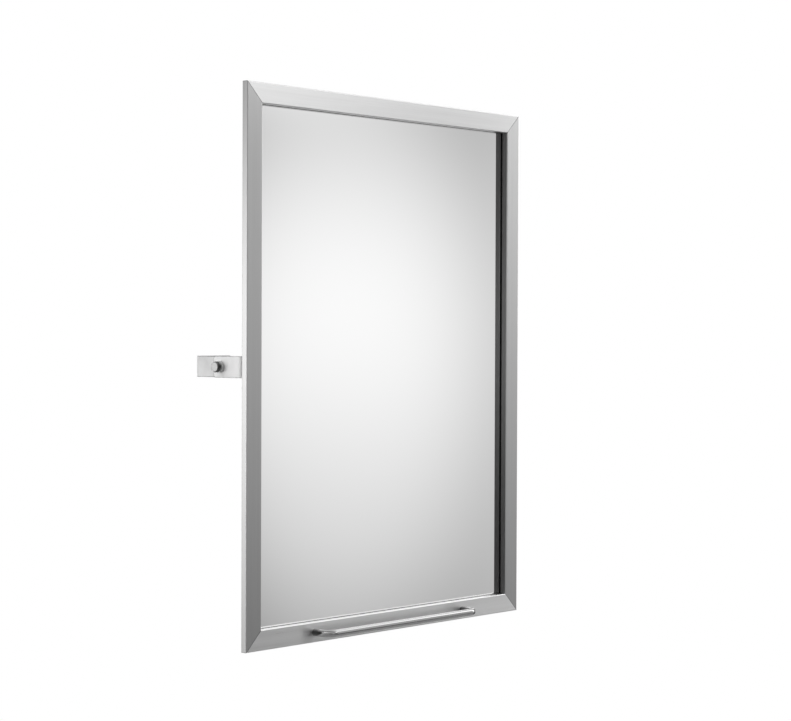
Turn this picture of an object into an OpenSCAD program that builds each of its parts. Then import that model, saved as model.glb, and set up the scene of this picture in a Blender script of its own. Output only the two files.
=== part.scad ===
// Pivot wall mirror: a glass mirror in a mitred stainless tube frame, hung between two wall
// brackets on friction pivots, with a rod handle on the bottom rail for tilting it.
//
// Frame: +Z is up and the mirror faces -Y. The origin lies on the wall, midway between the
// brackets, at the height of the pivot axis. "Left" is the left of someone facing the mirror (-X).
// All sizes are in millimetres.

/* [Mirror size] */
// Overall width of the frame
mirror_w = 450; // [300:5:700]
// Overall height of the frame
mirror_h = 600; // [400:5:900]

/* [Frame tube] */
// Width of the frame's face, seen from the front
face_w = 22; // [20:0.5:32]
// Depth of the tube, front to back
tube_d = 8; // [7:0.5:12]
// Wall thickness of the tube
tube_wall = 0.8; // [0.6:0.1:1.6]
// Inside corner radius of the tube
tube_inside_r = 0.3; // [0.2:0.1:1.2]

/* [Glass] */
// Thickness of the mirror glass
glass_t = 4; // [3:0.5:6]
// How far the glass laps behind the frame on each side
glass_lap = 4.5; // [3:0.5:6]
// Ground arris on every edge of the glass
glass_arris = 0.6; // [0.3:0.1:1]
// Thickness of the black glazing tape between tube and glass
tape_t = 1.2; // [0.8:0.1:2]
// Free gap between the glass edge and the back pan
glass_edge_gap = 1.5; // [1:0.1:2]
// Length of each setting block under the glass
block_l = 40; // [20:5:60]
// Distance from the middle of the mirror to each setting block
block_x = 105; // [60:5:110]

/* [Back] */
// Thickness of the foam pad behind the glass
pad_t = 2; // [1:0.5:4]
// How far the foam pad stays inside the glass edge
pad_inset = 6; // [3:1:20]
// Sheet thickness of the back pan
pan_t = 0.8; // [0.6:0.1:1.2]
// Inside corner radius of the back pan
pan_corner_r = 1.2; // [0.6:0.1:1.4]
// Distance from the frame's outer edge to the pan's lip
lip_inset = 3.5; // [3:0.5:5]
// Distance from the frame's outer edge to the row of pan screws
pan_screw_edge = 8.5; // [8:0.1:9]
// Distance up and down from the pivot axis to the nearer pan screws on the stiles
pan_screw_z = 105; // [60:1:115]
// Distance from the frame's corners, along the stiles, to the last pan screws
pan_screw_end_z = 68; // [30:1:75]
// Distance from the frame's corners, along the rails, to the last pan screws
pan_screw_end_x = 60; // [30:1:80]
// Shank diameter of the pan screws
pan_screw_d = 3.5; // [3:0.1:3.9]
// Length of the pan screws under the head
pan_screw_l = 5.5; // [4:0.5:6]

/* [Handle] */
// Diameter of the handle rod
rod_d = 8; // [7:0.5:12]
// Distance between the two legs of the handle, centre to centre
handle_cc = 246; // [160:1:280]
// Distance from the frame's face to the middle of the handle bar
handle_standoff = 21; // [19:0.5:45]
// Bend radius of the handle, to the middle of the rod
handle_bend_r = 10; // [7:0.5:16]
// Thread diameter of the handle screws
handle_screw_d = 4; // [3:0.5:4.5]
// Length of the handle screws under the head
handle_screw_l = 8; // [6:0.5:10]
// Head diameter of the handle screws
handle_head_d = 7; // [6:0.1:7.5]
// Head height of the handle screws
handle_head_h = 2.6; // [1.5:0.1:3]
// Width of the screwdriver slot in the handle screws
handle_slot_w = 1.2; // [0.8:0.1:1.4]
// Free depth of each threaded hole beyond the tip of its handle screw
handle_bore_end = 1.2; // [0.5:0.1:2]
// Diameter of the screwdriver holes behind the handle screws
access_d = 7.8; // [7.6:0.1:7.9]

/* [Pivot plates and wall brackets] */
// Sheet thickness of the plates and brackets
plate_t = 3; // [2:0.5:4]
// Inside radius of the bends
bend_r = 1.5; // [1:0.5:3]
// Radius of the plates' free corners
plate_corner_r = 3.5; // [1:0.5:6]
// Distance from the frame's face back to the pivot axis
face_to_axis = 40.5; // [38:0.5:60]
// Distance from the pivot axis back to the wall
axis_to_wall = 44.5; // [38:0.5:80]
// Height of the pivot plates' arms
pivot_arm_h = 23; // [20:0.5:30]
// Height of the wall brackets
wall_arm_h = 22.5; // [20:0.5:30]
// How far each arm runs on past the pivot axis
arm_past_axis = 11; // [10:0.5:15]
// Height of the flange behind the stile
flange_h = 64; // [60:1:90]
// Distance from the arm's outer face to the flange's tall part
flange_inset = 4.8; // [4.6:0.1:5.5]
// Distance from the arm's outer face to the flange's inner edge
flange_w = 14; // [13.5:0.1:14.2]
// Distance from the pivot axis up and down to the plate screws
plate_screw_z = 22; // [20:0.5:24]
// Length of each bracket's foot on the wall
foot_l = 50; // [48:1:80]
// Distance from the bracket's outer face to the outer wall hole
wall_hole_1 = 22; // [16:1:26]
// Distance from the bracket's outer face to the inner wall hole
wall_hole_2 = 40; // [36:1:42]
// Diameter of the wall holes
wall_hole_d = 6.5; // [4.5:0.5:8]

/* [Plate screws] */
// Thread diameter of the plate screws
plate_screw_d = 5; // [4:0.5:5]
// Length of the plate screws under the head
plate_screw_l = 8; // [7.5:0.5:9]
// Head diameter of the plate screws
plate_head_d = 8.6; // [8:0.1:9]
// Head height of the plate screws
plate_head_h = 2.8; // [2:0.1:3.5]
// Thickness of the threaded strip inside each stile
strip_t = 2.5; // [2:0.1:3]
// Width of the threaded strip
strip_w = 14; // [10:0.5:14.5]
// Length of the threaded strip
strip_l = 56; // [54:1:70]

/* [Pivot bolts] */
// Thread diameter of the pivot bolts
bolt_d = 6; // [5:0.5:6]
// Length of the pivot bolts under the head
bolt_l = 25; // [22:1:30]
// Bolt head and lock nut, across the flats
hex_af = 10; // [10:0.5:13]
// Height of the bolt head
bolt_head_h = 4; // [3:0.1:6]
// Outside diameter of the lock washer
lock_washer_d = 11.8; // [10:0.1:13]
// Thickness of the lock washer
lock_washer_t = 1.6; // [1:0.1:2.5]
// Width of the slit through the lock washer
lock_washer_slit = 0.9; // [0.5:0.1:1.5]
// Outside diameter of the spacer washer
spacer_d = 12.5; // [11:0.5:16]
// Thickness of the spacer washer
spacer_t = 3.5; // [1.5:0.1:5]
// Outside diameter of the nylon friction disc
friction_d = 20; // [14:0.5:20]
// Thickness of the nylon friction disc
friction_t = 1; // [0.5:0.1:2]
// Outside diameter of the washer under the lock nut
inner_washer_d = 12.5; // [11:0.5:16]
// Thickness of the washer under the lock nut
inner_washer_t = 1.6; // [1:0.1:2]
// Height of the lock nut
nut_h = 6; // [5:0.1:8]

/* [Fits] */
// Radial gap between the pivot bolt and the wall bracket it turns in
pivot_gap = 0.05; // [0.02:0.01:0.1]
// Radial gap round every shank in a clearance hole
shank_gap = 0.25; // [0.1:0.05:0.3]
// Radial gap that stands for the thread in a threaded hole
thread_gap = 0.05; // [0.02:0.01:0.1]

/* [Hidden] */
$fn = 64;

satin_steel = [0.74, 0.75, 0.76];
bright_steel = [0.84, 0.85, 0.86];
zinc_steel = [0.66, 0.68, 0.70];
silvered_glass = [0.88, 0.91, 0.92];
black_foam = [0.08, 0.08, 0.08];
grey_foam = [0.45, 0.46, 0.48];
black_rubber = [0.13, 0.13, 0.14];
white_nylon = [0.92, 0.92, 0.90];

// Stops a cutting shape from sharing a face with what it cuts
over = 1;
// Slope of the chamfer on a bolt head or nut, and where it starts as a share of the width across flats
hex_chamfer = 30;
hex_chamfer_start = 0.475;
// How far round the lock washer its slit lies, and how much the slit leans
slit_turn = 200;
slit_lean = 35;
// Depth-wise planes, from the face of the frame back to the wall at y = 0
axis_y = -axis_to_wall;
face_y = axis_y - face_to_axis;
tube_back_y = face_y + tube_d;
lip_back_y = tube_back_y + pan_t;
glass_front_y = tube_back_y + tape_t;
glass_back_y = glass_front_y + glass_t;
pan_floor_y = glass_back_y + pad_t;
// Across-wise planes on the left side, outwards to inwards
arm_x = -mirror_w / 2;
wall_arm_x = arm_x + plate_t + friction_t;
inner_washer_x = wall_arm_x + plate_t;
nut_x = inner_washer_x + inner_washer_t;
bolt_seat_x = arm_x - spacer_t - lock_washer_t;
// Distances inwards from the frame's outer edge
glass_edge = face_w - glass_lap;
pan_inside = glass_edge - glass_edge_gap;
pan_outside = pan_inside - pan_t;
plate_screw_edge = (flange_inset + flange_w) / 2;
handle_z = -mirror_h / 2 + face_w / 2;
bore_depth = handle_screw_l - tube_wall + handle_bore_end;

// ---------------------------------------------------------------- shared shapes

// Rectangle from the origin with rounded corners
module rounded_rect(w, h, r) {
    translate([r, 0]) square([w - 2 * r, h]);
    translate([0, r]) square([w, h - 2 * r]);
    for (x = [r, w - r], y = [r, h - r]) translate([x, y]) circle(r);
}

// The same, centred on the origin
module centred_rounded_rect(w, h, r) {
    translate([-w / 2, -h / 2]) rounded_rect(w, h, r);
}

// Draws a flat outline (x across, y up) in the X-Z plane and thickens it from y0 back to y1
module slab(y0, y1) {
    translate([0, y1, 0]) rotate([90, 0, 0]) linear_extrude(y1 - y0) children();
}

// Runs a round thing built along +Z along +Y, starting at the given point
module along_y(x, y, z) {
    translate([x, y, z]) rotate([-90, 0, 0]) children();
}

// Runs a round thing built along +Z inwards (+X) along the left pivot axis
module on_pivot(x) {
    translate([x, axis_y, 0]) rotate([0, 90, 0]) children();
}

// Makes the right-hand piece from the left-hand one
module right_hand() {
    mirror([1, 0, 0]) children();
}

module ring(outer_d, inner_d, t) {
    linear_extrude(t) difference() {
        circle(d = outer_d);
        circle(d = inner_d);
    }
}

// Hexagon with the chamfer of a bolt head on its far end
module hexagon(af, h) {
    corner_r = af / sqrt(3);
    flat_r = af * hex_chamfer_start;
    outside_r = corner_r + over;
    intersection() {
        linear_extrude(h) circle(corner_r, $fn = 6);
        rotate_extrude() polygon([
            [0, 0], [outside_r, 0], [outside_r, h - (outside_r - flat_r) * tan(hex_chamfer)],
            [flat_r, h], [0, h]
        ]);
    }
}

// Pan-head screw: the shank runs along -Z from the origin and the domed head along +Z
module pan_head_screw(d, l, head_d, head_h) {
    edge_h = head_h * 0.45;
    dome_h = head_h - edge_h;
    dome_r = (pow(head_d / 2, 2) + dome_h * dome_h) / (2 * dome_h);
    slot_w = d * 0.22;
    slot_l = d * 0.95;
    slot_floor = head_h * 0.35;
    tip = d * 0.12;
    difference() {
        union() {
            cylinder(d = head_d, h = edge_h);
            translate([0, 0, edge_h]) intersection() {
                translate([0, 0, dome_h - dome_r]) sphere(dome_r);
                cylinder(d = head_d, h = dome_h);
            }
            translate([0, 0, tip - l]) cylinder(d = d, h = l - tip);
            translate([0, 0, -l]) cylinder(d1 = d - 2 * tip, d2 = d, h = tip);
        }
        translate([0, 0, slot_floor]) linear_extrude(head_h) {
            square([slot_l, slot_w], center = true);
            square([slot_w, slot_l], center = true);
        }
    }
}

// ---------------------------------------------------------------- frame

// Cross-section of the tube: x runs from front to back, y from the outer to the inner edge
module tube_section() {
    difference() {
        rounded_rect(tube_d, face_w, tube_inside_r + tube_wall);
        translate([tube_wall, tube_wall])
            rounded_rect(tube_d - 2 * tube_wall, face_w - 2 * tube_wall, tube_inside_r);
    }
}

// A length of tube along X with both ends mitred, its outer edge at z = 0
module mitred_tube(l) {
    intersection() {
        rotate([90, 0, 90]) linear_extrude(l, center = true) tube_section();
        slab(-over, tube_d + over) polygon([
            [-l / 2, 0], [l / 2, 0], [l / 2 - face_w, face_w], [-l / 2 + face_w, face_w]
        ]);
    }
}

// Places of the pan screws on one rail and on one stile
last_screw_x = mirror_w / 2 - pan_screw_end_x;
last_screw_z = mirror_h / 2 - pan_screw_end_z;
rail_screws_x = [-last_screw_x, 0, last_screw_x];
stile_screws_z = [-last_screw_z, -pan_screw_z, pan_screw_z, last_screw_z];

// A hole through the tube's rear wall and the pan's lip
module rear_hole(x, z, d) {
    along_y(x, tube_back_y - tube_wall - over / 2, z)
        cylinder(d = d, h = tube_wall + pan_t + over);
}

module pan_screw_holes(d) {
    for (x = rail_screws_x, side = [-1, 1])
        rear_hole(x, side * (mirror_h / 2 - pan_screw_edge), d);
    for (z = stile_screws_z, side = [-1, 1])
        rear_hole(side * (mirror_w / 2 - pan_screw_edge), z, d);
}

module plate_screw_holes(d) {
    for (z = [-plate_screw_z, plate_screw_z], side = [-1, 1])
        rear_hole(side * (mirror_w / 2 - plate_screw_edge), z, d);
}

module handle_access_holes() {
    for (x = [-handle_cc / 2, handle_cc / 2]) rear_hole(x, handle_z, access_d);
}

// Plain bottom rail, before its holes
module rail() {
    translate([0, face_y, -mirror_h / 2]) mitred_tube(mirror_w);
}

module frame_top_rail() {
    color(satin_steel) difference() {
        mirror([0, 0, 1]) rail();
        pan_screw_holes(pan_screw_d + 2 * thread_gap);
    }
}

module frame_bottom_rail() {
    color(satin_steel) difference() {
        rail();
        pan_screw_holes(pan_screw_d + 2 * thread_gap);
        handle_access_holes();
        for (x = [-handle_cc / 2, handle_cc / 2])
            along_y(x, face_y - over, handle_z)
                cylinder(d = handle_screw_d + 2 * shank_gap, h = tube_wall + 2 * over);
    }
}

module frame_left_stile() {
    color(satin_steel) difference() {
        translate([arm_x, face_y, 0]) rotate([0, 90, 0]) mitred_tube(mirror_h);
        pan_screw_holes(pan_screw_d + 2 * thread_gap);
        plate_screw_holes(plate_screw_d + 2 * shank_gap);
    }
}

module frame_right_stile() {
    right_hand() frame_left_stile();
}

// Steel strip welded inside the stile, tapped for the plate screws
module left_threaded_strip() {
    x = arm_x + plate_screw_edge;
    y = tube_back_y - tube_wall - strip_t;
    color(zinc_steel) difference() {
        slab(y, y + strip_t) translate([x, 0]) square([strip_w, strip_l], center = true);
        for (z = [-plate_screw_z, plate_screw_z])
            along_y(x, y - over, z)
                cylinder(d = plate_screw_d + 2 * thread_gap, h = strip_t + 2 * over);
    }
}

module right_threaded_strip() {
    right_hand() left_threaded_strip();
}

// ---------------------------------------------------------------- glass and back

// Ring of tape behind the frame, flush with its inner edge
module glazing_tape() {
    w = mirror_w - 2 * face_w;
    h = mirror_h - 2 * face_w;
    color(black_foam) slab(tube_back_y, glass_front_y) difference() {
        square([w + 2 * glass_lap, h + 2 * glass_lap], center = true);
        square([w, h], center = true);
    }
}

module mirror_glass() {
    w = mirror_w - 2 * glass_edge;
    h = mirror_h - 2 * glass_edge;
    middle_y = (glass_front_y + glass_back_y) / 2;
    color(silvered_glass) intersection() {
        slab(glass_front_y, glass_back_y) square([w, h], center = true);
        translate([0, middle_y, 0]) linear_extrude(h, center = true) arrised_section(w);
        translate([0, middle_y, 0]) rotate([0, 90, 0])
            linear_extrude(w, center = true) arrised_section(h);
    }
}

// Section of the glass, with its four corners bevelled
module arrised_section(w) {
    polygon([
        [-w / 2, -glass_t / 2 + glass_arris], [-w / 2 + glass_arris, -glass_t / 2],
        [w / 2 - glass_arris, -glass_t / 2], [w / 2, -glass_t / 2 + glass_arris],
        [w / 2, glass_t / 2 - glass_arris], [w / 2 - glass_arris, glass_t / 2],
        [-w / 2 + glass_arris, glass_t / 2], [-w / 2, glass_t / 2 - glass_arris]
    ]);
}

module setting_blocks() {
    top = -mirror_h / 2 + glass_edge;
    color(black_rubber)
        for (x = [-block_x, block_x])
            slab(glass_front_y, glass_back_y)
                translate([x - block_l / 2, top - glass_edge_gap])
                    square([block_l, glass_edge_gap]);
}

module foam_pad() {
    inset = glass_edge + pad_inset;
    color(grey_foam) slab(glass_back_y, pan_floor_y)
        square([mirror_w - 2 * inset, mirror_h - 2 * inset], center = true);
}

// Outline that lies a given distance inside the frame's outer edge
module inset_outline(inset, r) {
    centred_rounded_rect(mirror_w - 2 * inset, mirror_h - 2 * inset, r);
}

// Shallow pressed tray that holds the glass, with a lip screwed to the back of the frame
module back_pan() {
    color(zinc_steel) difference() {
        union() {
            slab(tube_back_y, lip_back_y) inset_outline(lip_inset, plate_corner_r);
            slab(tube_back_y, pan_floor_y + pan_t)
                inset_outline(pan_outside, pan_corner_r + pan_t);
        }
        slab(tube_back_y - over, pan_floor_y) inset_outline(pan_inside, pan_corner_r);
        pan_screw_holes(pan_screw_d + 2 * shank_gap);
        plate_screw_holes(plate_screw_d + 2 * shank_gap);
        handle_access_holes();
    }
}

module back_pan_screw(x, z) {
    head_d = pan_screw_d * 1.9;
    head_h = pan_screw_d * 0.62;
    along_y(x, lip_back_y, z) pan_head_screw(pan_screw_d, pan_screw_l, head_d, head_h);
}

module back_pan_screws() {
    color(zinc_steel) {
        for (x = rail_screws_x, side = [-1, 1])
            back_pan_screw(x, side * (mirror_h / 2 - pan_screw_edge));
        for (z = stile_screws_z, side = [-1, 1])
            back_pan_screw(side * (mirror_w / 2 - pan_screw_edge), z);
    }
}

// ---------------------------------------------------------------- handle

// Half of the bent rod, from the middle of the bar to the left leg
module half_handle() {
    bend_x = -handle_cc / 2 + handle_bend_r;
    bend_y = face_y - handle_standoff + handle_bend_r;
    difference() {
        union() {
            translate([bend_x, face_y - handle_standoff, handle_z]) rotate([0, 90, 0])
                cylinder(d = rod_d, h = -bend_x);
            translate([bend_x, bend_y, handle_z]) rotate([0, 0, 180])
                rotate_extrude(angle = 90) translate([handle_bend_r, 0]) circle(d = rod_d);
            along_y(-handle_cc / 2, bend_y, handle_z) cylinder(d = rod_d, h = face_y - bend_y);
        }
        along_y(-handle_cc / 2, face_y - bore_depth, handle_z)
            cylinder(d = handle_screw_d + 2 * thread_gap, h = bore_depth + over);
    }
}

module handle() {
    color(satin_steel) {
        half_handle();
        right_hand() half_handle();
    }
}

// Cheese-head screws whose heads bear inside the tube, on the back of its front wall
module handle_screws() {
    color(zinc_steel)
        for (x = [-handle_cc / 2, handle_cc / 2])
            translate([x, face_y + tube_wall, handle_z]) rotate([-90, 0, 0])
                difference() {
                    union() {
                        cylinder(d = handle_head_d, h = handle_head_h);
                        translate([0, 0, -handle_screw_l])
                            cylinder(d = handle_screw_d, h = handle_screw_l);
                    }
                    translate([0, 0, handle_head_h / 2]) linear_extrude(handle_head_h)
                        square([handle_head_d + over, handle_slot_w], center = true);
                }
}

// ---------------------------------------------------------------- plates and brackets

// Plan view of a bent strip: its outer corner at the origin, the arm along +y, the flange along +x
module bent_strip(arm_l, flange_l) {
    outer_r = bend_r + plate_t;
    translate([0, outer_r]) square([plate_t, arm_l - outer_r]);
    translate([outer_r, 0]) square([flange_l - outer_r, plate_t]);
    intersection() {
        square(outer_r);
        translate([outer_r, outer_r]) difference() {
            circle(outer_r);
            circle(bend_r);
        }
    }
}

// Side view of an arm along +x from 0, with its two far corners rounded
module arm_outline(l, h) {
    r = plate_corner_r;
    translate([0, -h / 2]) square([l - r, h]);
    translate([0, -h / 2 + r]) square([l, h - 2 * r]);
    for (side = [-1, 1]) translate([l - r, side * (h / 2 - r)]) circle(r);
}

// Cuts the square end of an arm to its rounded outline; the arm points along +y
module with_round_arm_end(l, h, flange_l) {
    intersection() {
        linear_extrude(h, center = true) bent_strip(l, flange_l);
        rotate([90, 0, 90]) linear_extrude(flange_l) arm_outline(l, h);
    }
}

// Plate behind the left stile: a tall flange screwed to the tube and an arm back to the pivot
module left_pivot_plate() {
    arm_l = axis_y + arm_past_axis - lip_back_y;
    color(bright_steel) difference() {
        union() {
            translate([arm_x, lip_back_y, 0]) with_round_arm_end(arm_l, pivot_arm_h, flange_w);
            slab(lip_back_y, lip_back_y + plate_t)
                translate([arm_x + flange_inset, -flange_h / 2])
                    rounded_rect(flange_w - flange_inset, flange_h, plate_corner_r);
        }
        on_pivot(arm_x - over)
            cylinder(d = bolt_d + 2 * shank_gap, h = plate_t + 2 * over);
        for (z = [-plate_screw_z, plate_screw_z])
            along_y(arm_x + plate_screw_edge, lip_back_y - over, z)
                cylinder(d = plate_screw_d + 2 * shank_gap, h = plate_t + 2 * over);
    }
}

module right_pivot_plate() {
    right_hand() left_pivot_plate();
}

module plate_screw(z) {
    along_y(arm_x + plate_screw_edge, lip_back_y + plate_t, z)
        pan_head_screw(plate_screw_d, plate_screw_l, plate_head_d, plate_head_h);
}

module pivot_plate_screws() {
    color(zinc_steel)
        for (z = [-plate_screw_z, plate_screw_z]) {
            plate_screw(z);
            right_hand() plate_screw(z);
        }
}

// Bracket on the wall: an arm forward to the pivot and a foot bent inwards along the wall
module left_wall_bracket() {
    arm_l = -axis_y + arm_past_axis;
    color(bright_steel) difference() {
        translate([wall_arm_x, 0, 0]) mirror([0, 1, 0]) intersection() {
            with_round_arm_end(arm_l, wall_arm_h, foot_l);
            rotate([90, 0, 0]) linear_extrude(2 * (arm_l + over), center = true)
                arm_outline(foot_l, wall_arm_h);
        }
        on_pivot(wall_arm_x - over)
            cylinder(d = bolt_d + 2 * pivot_gap, h = plate_t + 2 * over);
        for (x = [wall_hole_1, wall_hole_2])
            along_y(wall_arm_x + x, -plate_t - over, 0)
                cylinder(d = wall_hole_d, h = plate_t + 2 * over);
    }
}

module right_wall_bracket() {
    right_hand() left_wall_bracket();
}

// ---------------------------------------------------------------- pivot hardware

module left_pivot_bolt() {
    tip = bolt_d * 0.1;
    color(zinc_steel) {
        on_pivot(bolt_seat_x) {
            mirror([0, 0, 1]) hexagon(hex_af, bolt_head_h);
            cylinder(d = bolt_d, h = bolt_l - tip);
            translate([0, 0, bolt_l - tip]) cylinder(d1 = bolt_d, d2 = bolt_d - 2 * tip, h = tip);
        }
    }
}

module right_pivot_bolt() {
    right_hand() left_pivot_bolt();
}

// Split spring washer
module left_lock_washer() {
    cut = [lock_washer_d / 2, lock_washer_slit, 4 * lock_washer_t];
    color(zinc_steel) on_pivot(bolt_seat_x) difference() {
        ring(lock_washer_d, bolt_d + 2 * shank_gap, lock_washer_t);
        rotate([0, 0, slit_turn]) translate([lock_washer_d / 4, 0, lock_washer_t / 2])
            rotate([slit_lean, 0, 0]) cube(cut, center = true);
    }
}

module right_lock_washer() {
    right_hand() left_lock_washer();
}

module left_spacer_washer() {
    color(zinc_steel) on_pivot(arm_x - spacer_t)
        ring(spacer_d, bolt_d + 2 * shank_gap, spacer_t);
}

module right_spacer_washer() {
    right_hand() left_spacer_washer();
}

// Nylon disc squeezed between the two arms, which holds the mirror where it is tilted
module left_friction_disc() {
    color(white_nylon) on_pivot(arm_x + plate_t)
        ring(friction_d, bolt_d + 2 * shank_gap, friction_t);
}

module right_friction_disc() {
    right_hand() left_friction_disc();
}

module left_inner_washer() {
    color(zinc_steel) on_pivot(inner_washer_x)
        ring(inner_washer_d, bolt_d + 2 * shank_gap, inner_washer_t);
}

module right_inner_washer() {
    right_hand() left_inner_washer();
}

// Hexagon nut with a round collar that holds its nylon ring
module left_lock_nut() {
    collar_h = nut_h * 0.28;
    collar_r = hex_af * 0.46;
    round_r = collar_h * 0.6;
    color(zinc_steel) on_pivot(nut_x) difference() {
        union() {
            hexagon(hex_af, nut_h - collar_h);
            cylinder(r = collar_r, h = nut_h - round_r);
            cylinder(r = collar_r - round_r, h = nut_h);
            translate([0, 0, nut_h - round_r])
                rotate_extrude() translate([collar_r - round_r, 0]) intersection() {
                    circle(round_r);
                    square(round_r);
                }
        }
        translate([0, 0, -over])
            cylinder(d = bolt_d + 2 * thread_gap, h = nut_h + 2 * over);
    }
}

module right_lock_nut() {
    right_hand() left_lock_nut();
}

// ---------------------------------------------------------------- what is drawn

frame_top_rail();
frame_bottom_rail();
frame_left_stile();
frame_right_stile();
glazing_tape();
mirror_glass();
setting_blocks();
foam_pad();
back_pan();
back_pan_screws();
handle();
handle_screws();
left_threaded_strip();
right_threaded_strip();
left_pivot_plate();
right_pivot_plate();
pivot_plate_screws();
left_wall_bracket();
right_wall_bracket();
left_pivot_bolt();
right_pivot_bolt();
left_lock_washer();
right_lock_washer();
left_spacer_washer();
right_spacer_washer();
left_friction_disc();
right_friction_disc();
left_inner_washer();
right_inner_washer();
left_lock_nut();
right_lock_nut();
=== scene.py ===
"""Looks of the pivot wall mirror: satin stainless frame, silvered glass, folded brackets and their hardware.

Everything is in metres in the part's own frame: +Z up, the mirror faces -Y, the wall is at y = 0.
"""

import math

import bmesh
import bpy
from mathutils import Matrix, Vector


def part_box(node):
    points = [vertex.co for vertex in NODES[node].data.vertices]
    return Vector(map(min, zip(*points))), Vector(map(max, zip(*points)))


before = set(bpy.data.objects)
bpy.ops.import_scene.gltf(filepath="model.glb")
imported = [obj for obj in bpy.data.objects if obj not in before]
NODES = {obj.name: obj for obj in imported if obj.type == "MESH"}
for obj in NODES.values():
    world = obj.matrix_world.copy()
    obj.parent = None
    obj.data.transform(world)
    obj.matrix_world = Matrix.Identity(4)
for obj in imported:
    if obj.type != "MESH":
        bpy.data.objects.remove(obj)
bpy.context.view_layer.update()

# ---------------------------------------------------------------- sizes read from the frame

TOP_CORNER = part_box("frame_top_rail")[1]
HALF_W = TOP_CORNER.x
HALF_H = TOP_CORNER.z

# ---------------------------------------------------------------- camera, as in the photograph

PHOTO_W = 791
SENSOR_MM = 36
FOCAL_PX = 1975
CLIP_NEAR, CLIP_FAR = 0.05, 50
CAMERA_PLACE = Vector((-1.6427, -1.5968, 0.0367))
CAMERA_YAW = math.radians(47.467)
CAMERA_PITCH = math.radians(-0.802)
CAMERA_ROLL = math.radians(0.209)


def make_camera():
    """A nearly level camera that looks at the mirror from its left, with the photograph's small roll."""
    forward = Vector((
        math.sin(CAMERA_YAW) * math.cos(CAMERA_PITCH),
        math.cos(CAMERA_YAW) * math.cos(CAMERA_PITCH),
        math.sin(CAMERA_PITCH),
    ))
    level_right = forward.cross(Vector((0, 0, 1))).normalized()
    level_up = level_right.cross(forward)
    right = math.cos(CAMERA_ROLL) * level_right + math.sin(CAMERA_ROLL) * level_up
    up = right.cross(forward)
    data = bpy.data.cameras.new("photo_camera")
    data.sensor_width = SENSOR_MM
    data.lens = FOCAL_PX * SENSOR_MM / PHOTO_W
    data.clip_start = CLIP_NEAR
    data.clip_end = CLIP_FAR
    camera = bpy.data.objects.new("photo_camera", data)
    bpy.context.scene.collection.objects.link(camera)
    turn = Matrix((right, up, -forward)).transposed().to_4x4()
    camera.matrix_world = Matrix.Translation(CAMERA_PLACE) @ turn
    bpy.context.scene.camera = camera


# ---------------------------------------------------------------- material helpers

# Streaks in a metre, along and across the grain of brushed steel
STREAKS_ALONG = 9
STREAKS_ACROSS = 900
# Detail of the fine streaks and how rough it is
FINE_DETAIL, FINE_ROUGH = 5, 0.62
# Share of the fine streaks; the rest are broad ones, with this scale and detail
FINE_SHARE = 0.6
BROAD_SCALE, BROAD_DETAIL = 0.16, 2
# How much the roughness of brushed and of rolled or turned steel varies
BRUSHED_GLOSS = 0.12
ROLLED_GLOSS = 0.15
# Width over which the mitre's hairline fades, the part of it that is darkest, and its level
SEAM_W = 0.0006
SEAM_CORE = 0.35
SEAM_SHADE = 0.25
# Width of the painted shade line along the cut edges of folded sheet, its level, and the cosines between the
# rounded and the true normal between which it fades
PAINTED_EDGE_W = 0.0018
EDGE_SHADE = 0.35
EDGE_FADE = (0.8, 0.995)
# Level of the painted shade on a bolt's flats against its end, and the cosines to its axis between which it
# turns bright
FLATS_SHADE = 0.3
END_FADE = (0.8, 0.95)
# Mottle of steel: clouds in a metre on sheet and on small pieces, and their detail
SHEET_CLOUDS = 120
SMALL_CLOUDS = 600
CLOUD_DETAIL = 4
# Zinc crystals in a metre, how far their rims wander in metres, how much their shade and roughness
# vary, and how strong the clouds over them are
CRYSTALS = 110
RIM_WANDER = 0.006
CRYSTAL_SHADE = 0.07
CRYSTAL_GLOSS = 0.2
ZINC_MOTTLE = 0.03
# Haze on the glass: clouds in a metre, their detail, the levels between which it comes up, and its
# roughness
HAZE_CLOUDS, HAZE_DETAIL = 14, 3
HAZE_FROM, HAZE_TO = 0.5, 0.75
HAZE_ROUGH = 0.02
# Grain of soft pieces: cells in a metre, their detail, and the level of the darkest ones
GRAIN_CELLS = 900
GRAIN_DETAIL = 2
GRAIN_SHADE = 0.85
# Depth in metres of the relief of metal and of soft pieces, and its strength on brushed and on rolled
# metal
METAL_RELIEF = 0.0002
SOFT_RELIEF = 0.0003
BRUSHED_STRENGTH = 0.02
ROLLED_STRENGTH = 0.03
# Radius of the softened edges of sheet and of small pieces
SHEET_EDGE = 0.0004
SMALL_EDGE = 0.0003
# Rays that the Bevel node sends for a softened edge and for the line along a cut edge
EDGE_SAMPLES = 6
LINE_SAMPLES = 8


class Nodes:
    """Adds and links the nodes of one material or of the world."""

    def __init__(self, tree):
        self.tree = tree
        tree.nodes.clear()

    def add(self, kind, **values):
        node = self.tree.nodes.new(kind)
        for key, value in values.items():
            setattr(node, key, value)
        return node

    def link(self, source, target):
        self.tree.links.new(source, target)

    def math(self, operation, a, b=None, clamp=False):
        node = self.add("ShaderNodeMath", operation=operation, use_clamp=clamp)
        for socket, value in zip(node.inputs, (a, b)):
            if value is None:
                continue
            if isinstance(value, (int, float)):
                socket.default_value = value
            else:
                self.link(value, socket)
        return node.outputs[0]

    def ramp(self, factor, stops):
        node = self.add("ShaderNodeValToRGB")
        elements = node.color_ramp.elements
        while len(elements) > 1:
            elements.remove(elements[-1])
        for i, (place, level) in enumerate(stops):
            element = elements[0] if i == 0 else elements.new(place)
            element.position = place
            element.color = (level, level, level, 1)
        self.link(factor, node.inputs[0])
        return node.outputs[0]


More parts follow.
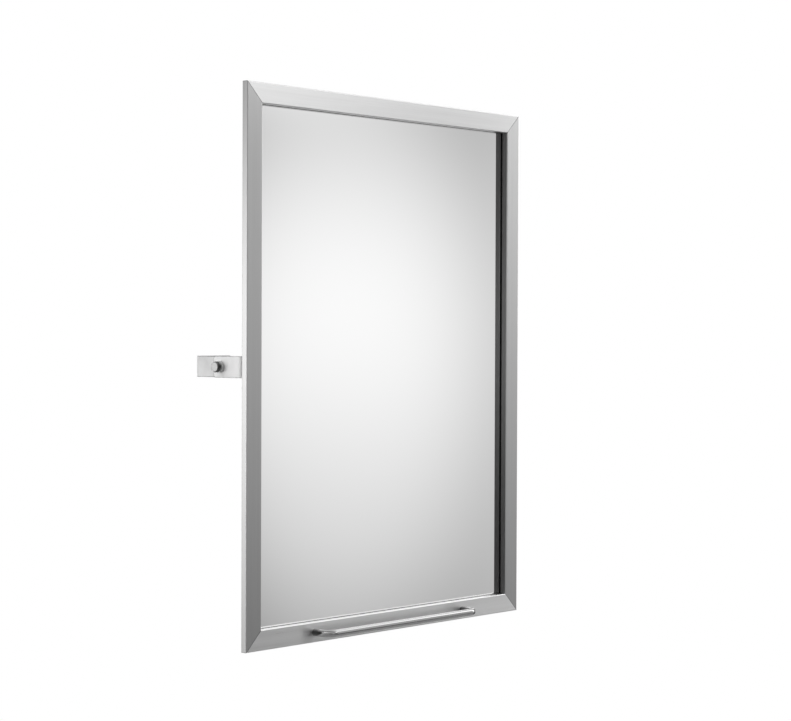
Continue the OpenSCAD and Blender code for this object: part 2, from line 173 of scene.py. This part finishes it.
def new_material(name):
    material = bpy.data.materials.new(name)
    material.use_nodes = True
    nodes = Nodes(material.node_tree)
    output = nodes.add("ShaderNodeOutputMaterial")
    surface = nodes.add("ShaderNodeBsdfPrincipled")
    nodes.link(surface.outputs[0], output.inputs["Surface"])
    return material, nodes, surface


def multiply(nodes, a, b):
    """Multiply two colours; either is a socket, and b may also be a plain colour."""
    tint = nodes.add("ShaderNodeMixRGB", blend_type="MULTIPLY")
    tint.inputs[0].default_value = 1
    nodes.link(a, tint.inputs[1])
    if isinstance(b, tuple):
        tint.inputs[2].default_value = (*b, 1)
    else:
        nodes.link(b, tint.inputs[2])
    return tint.outputs[0]


def vary(nodes, value, amount, level=1.0, low=0.3, high=0.7):
    """A level that goes from this much under it to as much over it while the value goes from low to high."""
    return nodes.ramp(value, [(low, level * (1 - amount)), (high, level * (1 + amount))])


def noise(nodes, place, scale, detail, roughness=0.5):
    texture = nodes.add("ShaderNodeTexNoise")
    texture.inputs["Scale"].default_value = scale
    texture.inputs["Detail"].default_value = detail
    texture.inputs["Roughness"].default_value = roughness
    nodes.link(place, texture.inputs["Vector"])
    return texture.outputs[0]


def relief(nodes, surface, height, strength, distance, edge_radius=0.0):
    """Bump a surface by a height, and round its edges where a radius is given."""
    bump = nodes.add("ShaderNodeBump")
    bump.inputs["Strength"].default_value = strength
    bump.inputs["Distance"].default_value = distance
    nodes.link(height, bump.inputs["Height"])
    if edge_radius:
        edges = nodes.add("ShaderNodeBevel", samples=EDGE_SAMPLES)
        edges.inputs["Radius"].default_value = edge_radius
        nodes.link(edges.outputs[0], bump.inputs["Normal"])
    nodes.link(bump.outputs[0], surface.inputs["Normal"])


def mitre_seam(nodes, place):
    """Dark hairline where two members of the frame meet at 45 degrees."""
    axes = nodes.add("ShaderNodeSeparateXYZ")
    nodes.link(place, axes.inputs[0])
    from_side = nodes.math("SUBTRACT", HALF_W, nodes.math("ABSOLUTE", axes.outputs[0]))
    from_end = nodes.math("SUBTRACT", HALF_H, nodes.math("ABSOLUTE", axes.outputs[2]))
    off_mitre = nodes.math("ABSOLUTE", nodes.math("SUBTRACT", from_side, from_end))
    return nodes.ramp(nodes.math("DIVIDE", off_mitre, SEAM_W), [(SEAM_CORE, SEAM_SHADE), (1.0, 1.0)])


def brushed_steel(name, grain, colour, roughness, anisotropic=0.85, streak=0.05, seam=False):
    """Satin steel with fine streaks along the grain, a vector in the part's frame."""
    material, nodes, surface = new_material(name)
    place = nodes.add("ShaderNodeTexCoord").outputs["Object"]
    stretch = nodes.add("ShaderNodeMapping")
    stretch.inputs["Scale"].default_value = [STREAKS_ALONG if g else STREAKS_ACROSS for g in grain]
    nodes.link(place, stretch.inputs[0])
    fine = noise(nodes, stretch.outputs[0], 1.0, FINE_DETAIL, FINE_ROUGH)
    broad = noise(nodes, stretch.outputs[0], BROAD_SCALE, BROAD_DETAIL)
    streaks = nodes.math(
        "ADD", nodes.math("MULTIPLY", fine, FINE_SHARE), nodes.math("MULTIPLY", broad, 1 - FINE_SHARE))
    shade = multiply(nodes, vary(nodes, streaks, streak), colour)
    if seam:
        shade = multiply(nodes, shade, mitre_seam(nodes, place))
    nodes.link(shade, surface.inputs["Base Color"])
    surface.inputs["Metallic"].default_value = 1
    rough = vary(nodes, streaks, BRUSHED_GLOSS, roughness, 0.25, 0.75)
    nodes.link(rough, surface.inputs["Roughness"])
    surface.inputs["Anisotropic"].default_value = anisotropic
    across = nodes.add("ShaderNodeVectorMath", operation="CROSS_PRODUCT")
    nodes.link(nodes.add("ShaderNodeNewGeometry").outputs["Normal"], across.inputs[0])
    across.inputs[1].default_value = grain
    nodes.link(across.outputs[0], surface.inputs["Tangent"])
    relief(nodes, surface, streaks, BRUSHED_STRENGTH, METAL_RELIEF)
    return material


def painted_edge_shade(nodes):
    """Painted shade along the cut edges of sheet: 1 on a flat, lower next to an edge."""
    rounded = nodes.add("ShaderNodeBevel", samples=LINE_SAMPLES)
    rounded.inputs["Radius"].default_value = PAINTED_EDGE_W
    facing = nodes.add("ShaderNodeVectorMath", operation="DOT_PRODUCT")
    nodes.link(rounded.outputs[0], facing.inputs[0])
    nodes.link(nodes.add("ShaderNodeNewGeometry").outputs["Normal"], facing.inputs[1])
    return nodes.ramp(facing.outputs["Value"], list(zip(EDGE_FADE, (EDGE_SHADE, 1.0))))


def painted_flat_shade(nodes):
    """Painted shade on a pivot bolt: its flats are darkened against its end, which keeps the drawn colour.
    """
    axes = nodes.add("ShaderNodeSeparateXYZ")
    nodes.link(nodes.add("ShaderNodeNewGeometry").outputs["Normal"], axes.inputs[0])
    return nodes.ramp(nodes.math("ABSOLUTE", axes.outputs[0]), list(zip(END_FADE, (FLATS_SHADE, 1.0))))


def plain_steel(name, colour, roughness, mottle, clouds, edge_radius, painted_shade_by=None):
    """Rolled or turned steel with a faint cloudy mottle and softened edges, and painted shade where one is
    given.
    """
    material, nodes, surface = new_material(name)
    place = nodes.add("ShaderNodeTexCoord").outputs["Object"]
    cloud = noise(nodes, place, clouds, CLOUD_DETAIL)
    shade = multiply(nodes, vary(nodes, cloud, mottle), colour)
    # Multiply in painted shade where one is given.
    if painted_shade_by is not None:
        shade = multiply(nodes, shade, painted_shade_by(nodes))
    nodes.link(shade, surface.inputs["Base Color"])
    nodes.link(vary(nodes, cloud, ROLLED_GLOSS, roughness), surface.inputs["Roughness"])
    surface.inputs["Metallic"].default_value = 1
    relief(nodes, surface, cloud, ROLLED_STRENGTH, METAL_RELIEF, edge_radius)
    return material


def zinc_coated(name, colour, roughness, edge_radius):
    """Hot-dip zinc: flat crystals under a centimetre across, each with its own shade and gloss."""
    material, nodes, surface = new_material(name)
    place = nodes.add("ShaderNodeTexCoord").outputs["Object"]
    cloud = noise(nodes, place, SHEET_CLOUDS, CLOUD_DETAIL)
    wander = nodes.add("ShaderNodeVectorMath", operation="MULTIPLY_ADD")
    nodes.link(cloud.node.outputs["Color"], wander.inputs[0])
    wander.inputs[1].default_value = (RIM_WANDER, RIM_WANDER, RIM_WANDER)
    nodes.link(place, wander.inputs[2])
    crystals = nodes.add("ShaderNodeTexVoronoi")
    crystals.inputs["Scale"].default_value = CRYSTALS
    nodes.link(wander.outputs[0], crystals.inputs["Vector"])
    random = nodes.add("ShaderNodeSeparateXYZ")
    nodes.link(crystals.outputs["Color"], random.inputs[0])
    facets = vary(nodes, random.outputs[0], CRYSTAL_SHADE, 1.0, 0.0, 1.0)
    shade = multiply(nodes, multiply(nodes, facets, colour), vary(nodes, cloud, ZINC_MOTTLE))
    nodes.link(shade, surface.inputs["Base Color"])
    rough = vary(nodes, random.outputs[1], CRYSTAL_GLOSS, roughness, 0.0, 1.0)
    nodes.link(rough, surface.inputs["Roughness"])
    surface.inputs["Metallic"].default_value = 1
    relief(nodes, surface, cloud, ROLLED_STRENGTH, METAL_RELIEF, edge_radius)
    return material


def silvered_glass():
    """A clean mirror with the faintest haze left by wiping."""
    material, nodes, surface = new_material("silvered_glass")
    surface.inputs["Base Color"].default_value = (*SILVER, 1)
    surface.inputs["Metallic"].default_value = 1
    place = nodes.add("ShaderNodeTexCoord").outputs["Object"]
    clouds = noise(nodes, place, HAZE_CLOUDS, HAZE_DETAIL)
    haze = nodes.ramp(clouds, [(HAZE_FROM, 0.0), (HAZE_TO, HAZE_ROUGH)])
    nodes.link(haze, surface.inputs["Roughness"])
    return material


def soft_plastic(name, colour, roughness, bump=0.1, specular=0.5):
    """Foam, rubber or nylon with a fine grain."""
    material, nodes, surface = new_material(name)
    place = nodes.add("ShaderNodeTexCoord").outputs["Object"]
    cells = noise(nodes, place, GRAIN_CELLS, GRAIN_DETAIL)
    shade = nodes.ramp(cells, [(0.3, GRAIN_SHADE), (0.7, 1.0)])
    nodes.link(multiply(nodes, shade, colour), surface.inputs["Base Color"])
    surface.inputs["Roughness"].default_value = roughness
    surface.inputs["Specular IOR Level"].default_value = specular
    relief(nodes, surface, cells, bump, SOFT_RELIEF)
    return material


# ---------------------------------------------------------------- materials on the CAD nodes

ALONG_X = (1, 0, 0)
ALONG_Z = (0, 0, 1)
RAIL_STEEL = (0.64, 0.64, 0.64)
# The stiles are the rails' satin steel painted darker: their colour holds painted shade.
STILE_IN_PAINTED_SHADE = (0.47, 0.47, 0.47)
ROD_STEEL = (0.37, 0.37, 0.37)
PLATE_STEEL = (0.86, 0.86, 0.86)
BRACKET_STEEL = (0.75, 0.75, 0.75)
FASTENER_STEEL = (0.36, 0.36, 0.36)
WASHER_STEEL = (0.68, 0.68, 0.68)
ZINC = (0.56, 0.57, 0.58)
SILVER = (0.96, 0.96, 0.96)
BLACK_TAPE = (0.006, 0.006, 0.006)
BLACK_RUBBER = (0.03, 0.03, 0.03)
GREY_FOAM = (0.3, 0.31, 0.33)
WHITE_NYLON = (0.8, 0.8, 0.77)
BRUSHED_ROUGHNESS = 0.3
ROD_ROUGHNESS = 0.12
SHEET_ROUGHNESS = 0.8
ZINC_ROUGHNESS = 0.42
TURNED_ROUGHNESS = 0.16
WASHER_ROUGHNESS = 0.3
TAPE_ROUGHNESS = 0.8
TAPE_SPECULAR = 0.15
RUBBER_ROUGHNESS = 0.6
FOAM_ROUGHNESS = 0.9
NYLON_ROUGHNESS = 0.4


def dress(material, *names):
    """Give CAD nodes a material; their meshes stay as they are."""
    for name in names:
        slots = NODES[name].data.materials
        slots.clear()
        slots.append(material)


def both(name):
    return ["left_" + name, "right_" + name]


def dress_nodes():
    rail = brushed_steel("satin_rail", ALONG_X, RAIL_STEEL, BRUSHED_ROUGHNESS, seam=True)
    # The stiles' darker colour is painted shade.
    stile = brushed_steel("stile_satin_painted_shade", ALONG_Z, STILE_IN_PAINTED_SHADE, BRUSHED_ROUGHNESS, seam=True)
    rod = brushed_steel("satin_rod", ALONG_X, ROD_STEEL, ROD_ROUGHNESS, anisotropic=0.3, streak=0.03)
    # Sheet carries a painted shade line along its cut edges.
    sheet = {"mottle": 0.03, "clouds": SHEET_CLOUDS, "edge_radius": SHEET_EDGE, "painted_shade_by": painted_edge_shade}
    plate = plain_steel("rolled_plate", PLATE_STEEL, SHEET_ROUGHNESS, **sheet)
    bracket = plain_steel("rolled_bracket", BRACKET_STEEL, SHEET_ROUGHNESS, **sheet)
    zinc = zinc_coated("zinc_sheet", ZINC, ZINC_ROUGHNESS, SHEET_EDGE)
    small = {"mottle": 0.04, "clouds": SMALL_CLOUDS, "edge_radius": SMALL_EDGE}
    fasteners = plain_steel("bright_fastener", FASTENER_STEEL, TURNED_ROUGHNESS, **small)
    # The pivot bolts' flats carry painted shade.
    bolt = plain_steel("bolt_painted_flats", FASTENER_STEEL, TURNED_ROUGHNESS, **small, painted_shade_by=painted_flat_shade)
    washer = plain_steel("satin_washer", WASHER_STEEL, WASHER_ROUGHNESS, **small)
    dress(rail, "frame_top_rail", "frame_bottom_rail")
    dress(stile, "frame_left_stile", "frame_right_stile")
    dress(rod, "handle")
    dress(plate, *both("pivot_plate"))
    dress(bracket, *both("wall_bracket"))
    dress(zinc, "back_pan", *both("threaded_strip"))
    dress(fasteners, "back_pan_screws", "handle_screws", "pivot_plate_screws",
          *both("lock_washer"), *both("inner_washer"), *both("lock_nut"))
    dress(bolt, *both("pivot_bolt"))
    dress(washer, *both("spacer_washer"))
    dress(silvered_glass(), "mirror_glass")
    dress(soft_plastic("black_tape", BLACK_TAPE, TAPE_ROUGHNESS, specular=TAPE_SPECULAR), "glazing_tape")
    dress(soft_plastic("black_rubber", BLACK_RUBBER, RUBBER_ROUGHNESS), "setting_blocks")
    dress(soft_plastic("grey_foam", GREY_FOAM, FOAM_ROUGHNESS), "foam_pad")
    dress(soft_plastic("white_nylon", WHITE_NYLON, NYLON_ROUGHNESS, bump=0.02), *both("friction_disc"))


# ---------------------------------------------------------------- studio

FLOOR_Z = -1.25
FLOOR_GREY = (0.5, 0.5, 0.5)
FLOOR_ROUGHNESS = 0.9
TENT_R = 3.0
TENT_SEGMENTS, TENT_RINGS = 96, 64
# Level of the white world for light that is not seen
WORLD_DIM = 0.5
# Distances from the floor's middle between which it fades to white for the camera, and how white the
# middle itself is
FLOOR_FADE = (0.2, 1.2)
MIDDLE_FADE = 0.75
# Distances from the floor's middle between which it gives way to the tent where metal mirrors it
RIM_CLEAR = (1.2, 2.5)
# Level of the tent's cloth by elevation in degrees
TENT_BASE = [
    (-90, 0.10), (-45, 0.12), (-22, 0.18), (-10, 0.22), (0, 0.22),
    (10, 0.22), (22, 0.24), (45, 0.94), (90, 0.40),
]
# Soft lamps behind the cloth: azimuth and elevation in degrees as the mirror sees them (azimuth 0 is
# straight out from the glass, 90 is +X), half-widths in degrees, level, and how flat the middle is
TENT_LAMPS = {
    "screen": (43.7, -0.1, 8.0, 15.9, 0.51, 2),
    "screen_soft": (43.7, 2.0, 8.0, 8.1, 0.25, 1),
    "front_high": (43.6, 29.9, 17.5, 6.5, 2.37, 1),
    "right": (66.3, 13.0, 8.0, 13.2, 2.00, 1),
    "right_top": (65.8, 17.7, 8.0, 16.0, 2.40, 1),
    "front_top": (34.0, 18.3, 10.9, 4.0, 3.07, 1),
    "over_right": (80.0, 30.0, 14.0, 24.0, 1.38, 1),
    "right_low": (59.3, -17.9, 8.0, 23.4, 0.59, 1),
    "left_side": (-118.2, -5.4, 13.7, 13.2, 2.86, 1),
    "left_back": (-106.0, 2.8, 35.0, 6.5, 1.48, 1),
    "left_high": (-112.1, 40.8, 49.9, 17.5, 1.60, 1),
    "left_low": (-121.1, -28.1, 43.0, 5.9, 0.80, 1),
    "right_back": (120.0, 0.0, 18.0, 13.0, 0.90, 1),
    "front": (0.0, 1.0, 18.0, 18.0, 0.62, 1),
    "left": (-46.0, -4.0, 22.0, 24.0, 0.42, 1),
    "back": (174.0, 0.0, 40.0, 26.0, 0.92, 1),
}
# The unlit side behind the camera, which darkens only what the metal shows at second hand, and the
# lighter gap in it at half height
DARK_SIDE = (-47.0, 0.0, 45.0, 60.0, 0.99, 1)
DARK_GAP = (-47.0, 0.0, 45.0, 5.0, 0.25, 1)


def ramp_over(nodes, value, points):
    """Map a value through straight stretches between (place, level) points."""
    low, high = points[0][0], points[-1][0]
    span = nodes.add("ShaderNodeMapRange")
    nodes.link(value, span.inputs["Value"])
    span.inputs["From Min"].default_value = low
    span.inputs["From Max"].default_value = high
    return nodes.ramp(span.outputs[0], [((place - low) / (high - low), level) for place, level in points])


def bell(nodes, azimuth, elevation, lamp):
    """A soft round patch of light on the tent."""
    centre_a, centre_e, half_a, half_e, level, flatness = lamp
    turn = nodes.math("WRAP", nodes.math("SUBTRACT", azimuth, centre_a), 180)
    turn.node.inputs[2].default_value = -180
    across = nodes.math("POWER", nodes.math("DIVIDE", turn, half_a), 2)
    up = nodes.math("POWER", nodes.math("DIVIDE", nodes.math("SUBTRACT", elevation, centre_e), half_e), 2)
    away = nodes.math("POWER", nodes.math("ADD", across, up), flatness)
    fall = nodes.math("EXPONENT", nodes.math("MULTIPLY", away, -1))
    return nodes.math("MULTIPLY", fall, level)


def make_tent():
    """A round diffusing tent; the camera looks through it and the metal mirrors its soft patches."""
    mesh = bpy.data.meshes.new("light_tent")
    shape = bmesh.new()
    bmesh.ops.create_uvsphere(shape, u_segments=TENT_SEGMENTS, v_segments=TENT_RINGS, radius=TENT_R)
    shape.to_mesh(mesh)
    shape.free()
    tent = bpy.data.objects.new("light_tent", mesh)
    bpy.context.scene.collection.objects.link(tent)
    material = bpy.data.materials.new("tent_cloth")
    material.use_nodes = True
    nodes = Nodes(material.node_tree)
    axes = nodes.add("ShaderNodeSeparateXYZ")
    nodes.link(nodes.add("ShaderNodeTexCoord").outputs["Object"], axes.inputs[0])
    x, y, z = axes.outputs
    in_degrees = math.degrees(1)
    azimuth = nodes.math("MULTIPLY", nodes.math("ARCTAN2", x, nodes.math("MULTIPLY", y, -1)), in_degrees)
    elevation = nodes.math("MULTIPLY", nodes.math("ARCSINE", nodes.math("DIVIDE", z, TENT_R)), in_degrees)
    level = ramp_over(nodes, elevation, TENT_BASE)
    for lamp in TENT_LAMPS.values():
        level = nodes.math("ADD", level, bell(nodes, azimuth, elevation, lamp))
    bounces = nodes.add("ShaderNodeLightPath").outputs["Glossy Depth"]
    second = nodes.math("SUBTRACT", bounces, 1, clamp=True)
    dark = nodes.math("SUBTRACT", bell(nodes, azimuth, elevation, DARK_SIDE),
                      bell(nodes, azimuth, elevation, DARK_GAP))
    shadow = nodes.math("MULTIPLY", second, dark)
    level = nodes.math("MULTIPLY", level, nodes.math("SUBTRACT", 1, shadow))
    glow = nodes.add("ShaderNodeEmission")
    nodes.link(level, glow.inputs["Color"])
    output = nodes.add("ShaderNodeOutputMaterial")
    nodes.link(glow.outputs[0], output.inputs["Surface"])
    material.cycles.emission_sampling = "NONE"
    mesh.materials.append(material)
    tent.visible_camera = False
    tent.visible_shadow = False


def make_world():
    """Plain white to the camera and in anything that shows the background."""
    world = bpy.data.worlds.new("studio")
    bpy.context.scene.world = world
    world.use_nodes = True
    nodes = Nodes(world.node_tree)
    output = nodes.add("ShaderNodeOutputWorld")
    path = nodes.add("ShaderNodeLightPath")
    seen = nodes.math("MAXIMUM", path.outputs["Is Camera Ray"], path.outputs["Is Glossy Ray"])
    seen = nodes.math("MAXIMUM", seen, path.outputs["Is Transmission Ray"])
    dim = nodes.add("ShaderNodeBackground")
    dim.inputs["Strength"].default_value = WORLD_DIM
    white = nodes.add("ShaderNodeBackground")
    for background in (dim, white):
        background.inputs["Color"].default_value = (1, 1, 1, 1)
    mix = nodes.add("ShaderNodeMixShader")
    nodes.link(seen, mix.inputs[0])
    nodes.link(dim.outputs[0], mix.inputs[1])
    nodes.link(white.outputs[0], mix.inputs[2])
    nodes.link(mix.outputs[0], output.inputs[0])


def make_floor():
    """A plain pale floor well below the mirror, which fades to white towards its rim."""
    bpy.ops.mesh.primitive_circle_add(
        vertices=TENT_SEGMENTS, radius=TENT_R, fill_type="NGON", location=(0, 0, FLOOR_Z))
    floor = bpy.context.object
    floor.name = "floor"
    material, nodes, surface = new_material("pale_floor")
    surface.inputs["Base Color"].default_value = (*FLOOR_GREY, 1)
    surface.inputs["Roughness"].default_value = FLOOR_ROUGHNESS
    place = nodes.add("ShaderNodeTexCoord").outputs["Object"]
    reach = nodes.add("ShaderNodeVectorMath", operation="LENGTH")
    nodes.link(place, reach.inputs[0])
    fade, rim = (nodes.add("ShaderNodeMapRange", interpolation_type="SMOOTHSTEP") for _ in range(2))
    for ramp, (start, end) in ((fade, FLOOR_FADE), (rim, RIM_CLEAR)):
        nodes.link(reach.outputs["Value"], ramp.inputs["Value"])
        ramp.inputs["From Min"].default_value = start
        ramp.inputs["From Max"].default_value = end
    fade.inputs["To Min"].default_value = MIDDLE_FADE
    rays = nodes.add("ShaderNodeLightPath").outputs
    clear = nodes.add("ShaderNodeMixShader")
    nodes.link(nodes.math("MULTIPLY", rays["Is Glossy Ray"], rim.outputs[0]), clear.inputs[0])
    nodes.link(surface.outputs[0], clear.inputs[1])
    nodes.link(nodes.add("ShaderNodeBsdfTransparent").outputs[0], clear.inputs[2])
    white = nodes.add("ShaderNodeEmission")
    mix = nodes.add("ShaderNodeMixShader")
    nodes.link(nodes.math("MULTIPLY", rays["Is Camera Ray"], fade.outputs[0]), mix.inputs[0])
    nodes.link(clear.outputs[0], mix.inputs[1])
    nodes.link(white.outputs[0], mix.inputs[2])
    nodes.link(mix.outputs[0], nodes.tree.nodes["Material Output"].inputs["Surface"])
    floor.data.materials.append(material)


def make_studio():
    make_world()
    make_tent()
    make_floor()


bpy.context.scene.view_settings.view_transform = "Standard"
make_camera()
dress_nodes()
make_studio()
